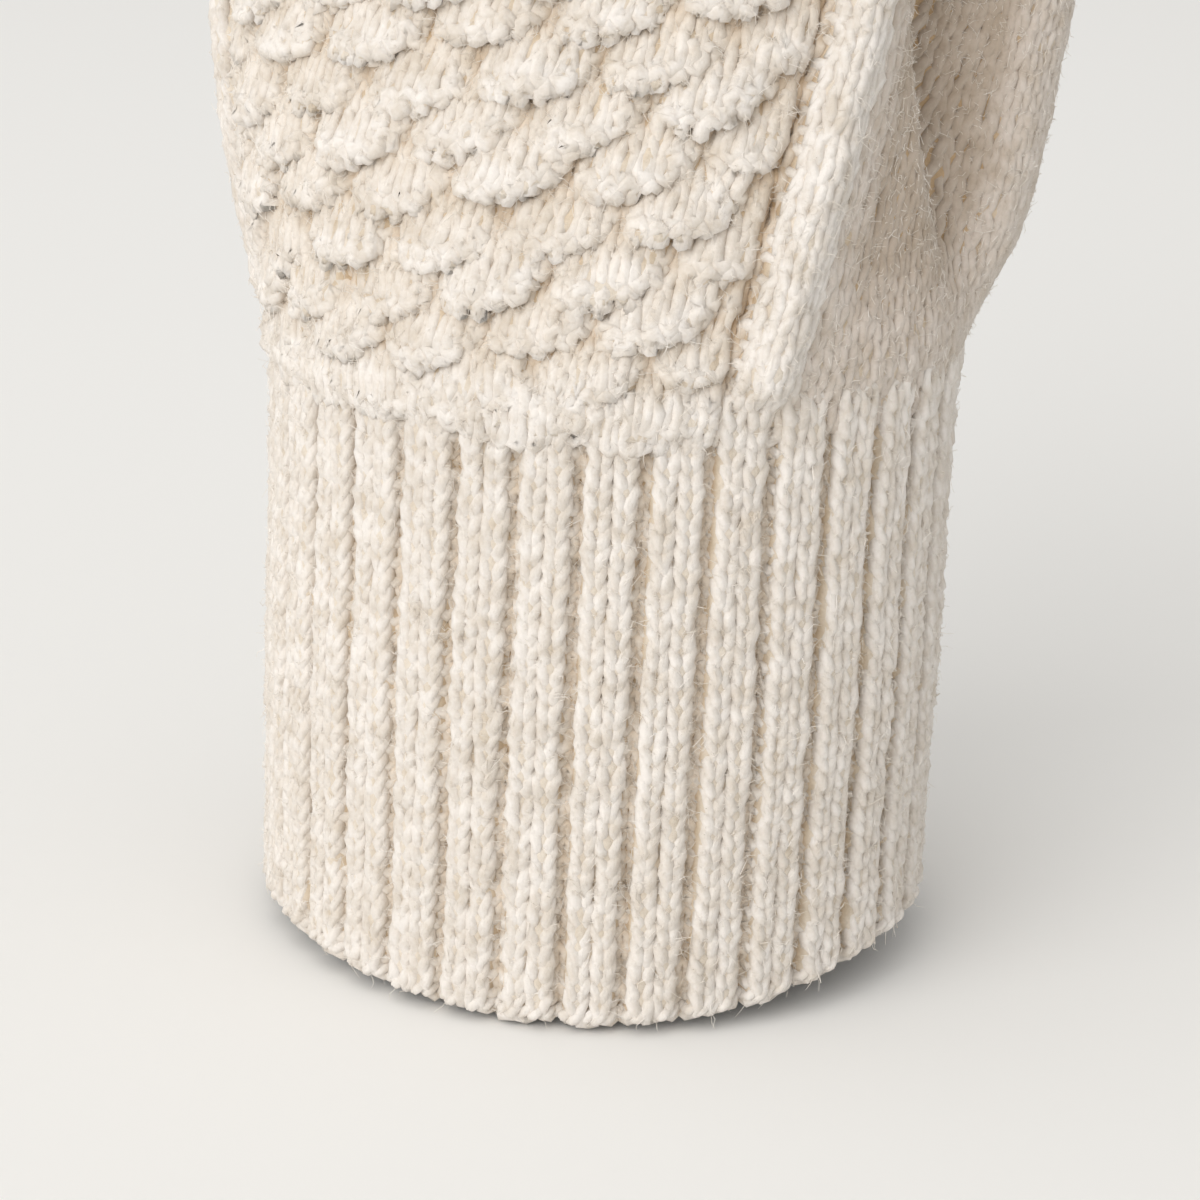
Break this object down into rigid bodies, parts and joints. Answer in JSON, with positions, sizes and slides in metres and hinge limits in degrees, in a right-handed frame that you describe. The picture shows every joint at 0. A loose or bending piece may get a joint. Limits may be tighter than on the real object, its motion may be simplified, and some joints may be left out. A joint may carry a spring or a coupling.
{
  "type": "fingerless knitted glove",
  "caption": "Left-hand knitted glove with open half fingers and thumb, a deep ribbed cuff, and a textured back between raised welts.",
  "frame": {"origin": "middle of the wrist opening, in the plane of the cuff's hem", "axes": "+Z from the hem to the fingers, -Y the back of the hand, +X the thumb side"},
  "size_m": [0.1014, 0.0777, 0.1782],
  "materials": {
    "ribbed_knit": "cream wool, ribbed, fuzzy",
    "textured_knit": "cream wool, blister stitch, fuzzy",
    "plain_knit": "cream wool, stockinette, brushed",
    "welt_knit": "cream wool, raised welt",
    "edge_knit": "cream wool, cast-on and bound-off edges"
  },
  "bodies": {
    "cuff": {"cast_on_edge": "edge_knit", "rib_cuff": "ribbed_knit", "wrist_ribbing": "ribbed_knit"},
    "hand": {"setup_round": "plain_knit", "back_panel": "textured_knit", "palm_panel": "plain_knit", "radial_welt": "welt_knit", "ulnar_welt": "welt_knit", "knuckle_yoke": "plain_knit", "crotch_index_middle": "plain_knit", "crotch_middle_ring": "plain_knit", "crotch_ring_little": "plain_knit", "thumb_gusset": "plain_knit", "thumb_base": "plain_knit", "index_base": "plain_knit", "middle_base": "plain_knit", "ring_base": "plain_knit", "little_base": "plain_knit"},
    "thumb": {"thumb_tube": "plain_knit", "thumb_edge": "edge_knit"},
    "index_finger": {"index_tube": "plain_knit", "index_edge": "edge_knit"},
    "middle_finger": {"middle_tube": "plain_knit", "middle_edge": "edge_knit"},
    "ring_finger": {"ring_tube": "plain_knit", "ring_edge": "edge_knit"},
    "little_finger": {"little_tube": "plain_knit", "little_edge": "edge_knit"}
  },
  "joints": [
    {"name": "wrist_flex", "type": "hinge", "parent": "cuff", "child": "hand", "pos_m": [0, 0, 0.0525], "axis": [-1, 0, 0], "range_deg": [-25, 25], "stiffness_Nm_per_rad": 0.15, "deforming": ["wrist_ribbing"]},
    {"name": "index_flex", "type": "hinge", "parent": "hand", "child": "index_finger", "pos_m": [0.02485, 0, 0.15499], "axis": [-0.9962, 0, 0.0872], "range_deg": [-12, 35], "stiffness_Nm_per_rad": 0.02, "deforming": ["index_base"]},
    {"name": "middle_flex", "type": "hinge", "parent": "hand", "child": "middle_finger", "pos_m": [0.004, 0, 0.155], "axis": [-0.9997, 0, 0.0262], "range_deg": [-12, 35], "stiffness_Nm_per_rad": 0.02, "deforming": ["middle_base"]},
    {"name": "ring_flex", "type": "hinge", "parent": "hand", "child": "ring_finger", "pos_m": [-0.01657, 0, 0.155], "axis": [-0.999, 0, -0.0436], "range_deg": [-12, 35], "stiffness_Nm_per_rad": 0.02, "deforming": ["ring_base"]},
    {"name": "little_flex", "type": "hinge", "parent": "hand", "child": "little_finger", "pos_m": [-0.03609, 0, 0.15184], "axis": [-0.9925, 0, -0.1219], "range_deg": [-12, 35], "stiffness_Nm_per_rad": 0.02, "deforming": ["little_base"]},
    {"name": "thumb_sweep", "type": "hinge", "parent": "hand", "child": "thumb", "pos_m": [0.03542, 0.02495, 0.11715], "axis": [-0.6026, -0.6604, 0.4481], "range_deg": [-20, 30], "stiffness_Nm_per_rad": 0.03, "deforming": ["thumb_base"]}
  ]
}
